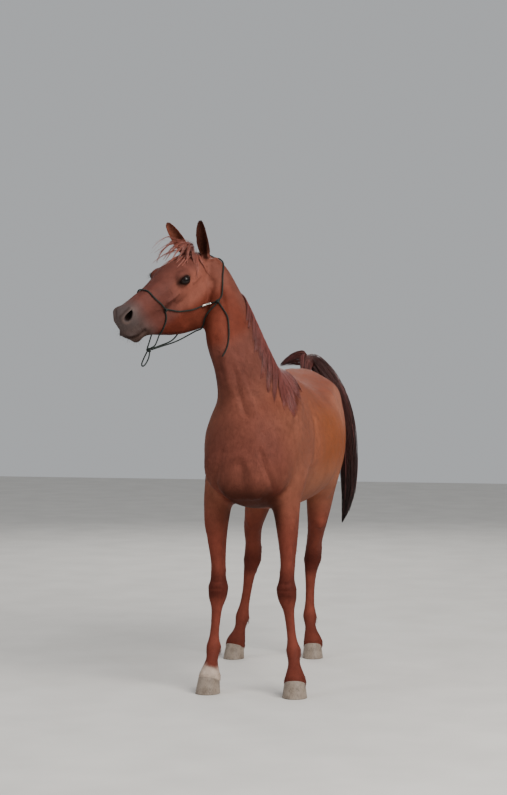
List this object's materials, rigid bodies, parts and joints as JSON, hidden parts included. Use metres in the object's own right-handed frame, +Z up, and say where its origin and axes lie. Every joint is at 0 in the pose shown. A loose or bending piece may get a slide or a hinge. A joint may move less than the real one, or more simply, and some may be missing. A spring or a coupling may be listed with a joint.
{
  "type": "horse",
  "caption": "Life-size standing horse, head raised and turned to its right, tail carried high, in a thin rope halter: a still model with no joints.",
  "frame": {"origin": "on the floor, under the middle of the model's box", "axes": "+Z up; the horse's body faces -Y and its left side is +X"},
  "size_m": [0.8112, 1.8194, 2.1259],
  "materials": {
    "coat": "short chestnut coat over skin",
    "hair": "dark red mane and forelock hair",
    "tail_hair": "near-black brown tail hair",
    "horn": "pale dusty hoof horn",
    "eye": "wet dark eye",
    "rope": "dark green-black braided cord",
    "steel": "bright worn metal sleeve"
  },
  "bodies": {
    "root": {"ear_left": "coat", "ear_right": "coat", "eye_left": "eye", "eye_right": "eye", "fore_left_cannon": "coat", "fore_left_forearm": "coat", "fore_left_hoof": "horn", "fore_left_pastern": "coat", "fore_right_cannon": "coat", "fore_right_forearm": "coat", "fore_right_hoof": "horn", "fore_right_pastern": "coat", "forelock": "hair", "halter_cheek_knot_left": "rope", "halter_cheek_knot_right": "rope", "halter_cheek_rope_left": "rope", "halter_cheek_rope_right": "rope", "halter_chin_knot": "rope", "halter_chin_loop": "rope", "halter_cord": "rope", "halter_crown": "rope", "halter_drop_rope_left": "rope", "halter_drop_rope_right": "rope", "halter_nose_knot_left": "rope", "halter_nose_knot_right": "rope", "halter_noseband": "rope", "halter_sleeve": "steel", "halter_throat_rope_left": "rope", "halter_throat_rope_right": "rope", "head": "coat", "hind_left_cannon": "coat", "hind_left_gaskin": "coat", "hind_left_hoof": "horn", "hind_left_pastern": "coat", "hind_right_cannon": "coat", "hind_right_gaskin": "coat", "hind_right_hoof": "horn", "hind_right_pastern": "coat", "mane": "hair", "neck": "coat", "tail_dock": "tail_hair", "tail_hair": "tail_hair", "trunk": "coat"}
  },
  "joints": []
}
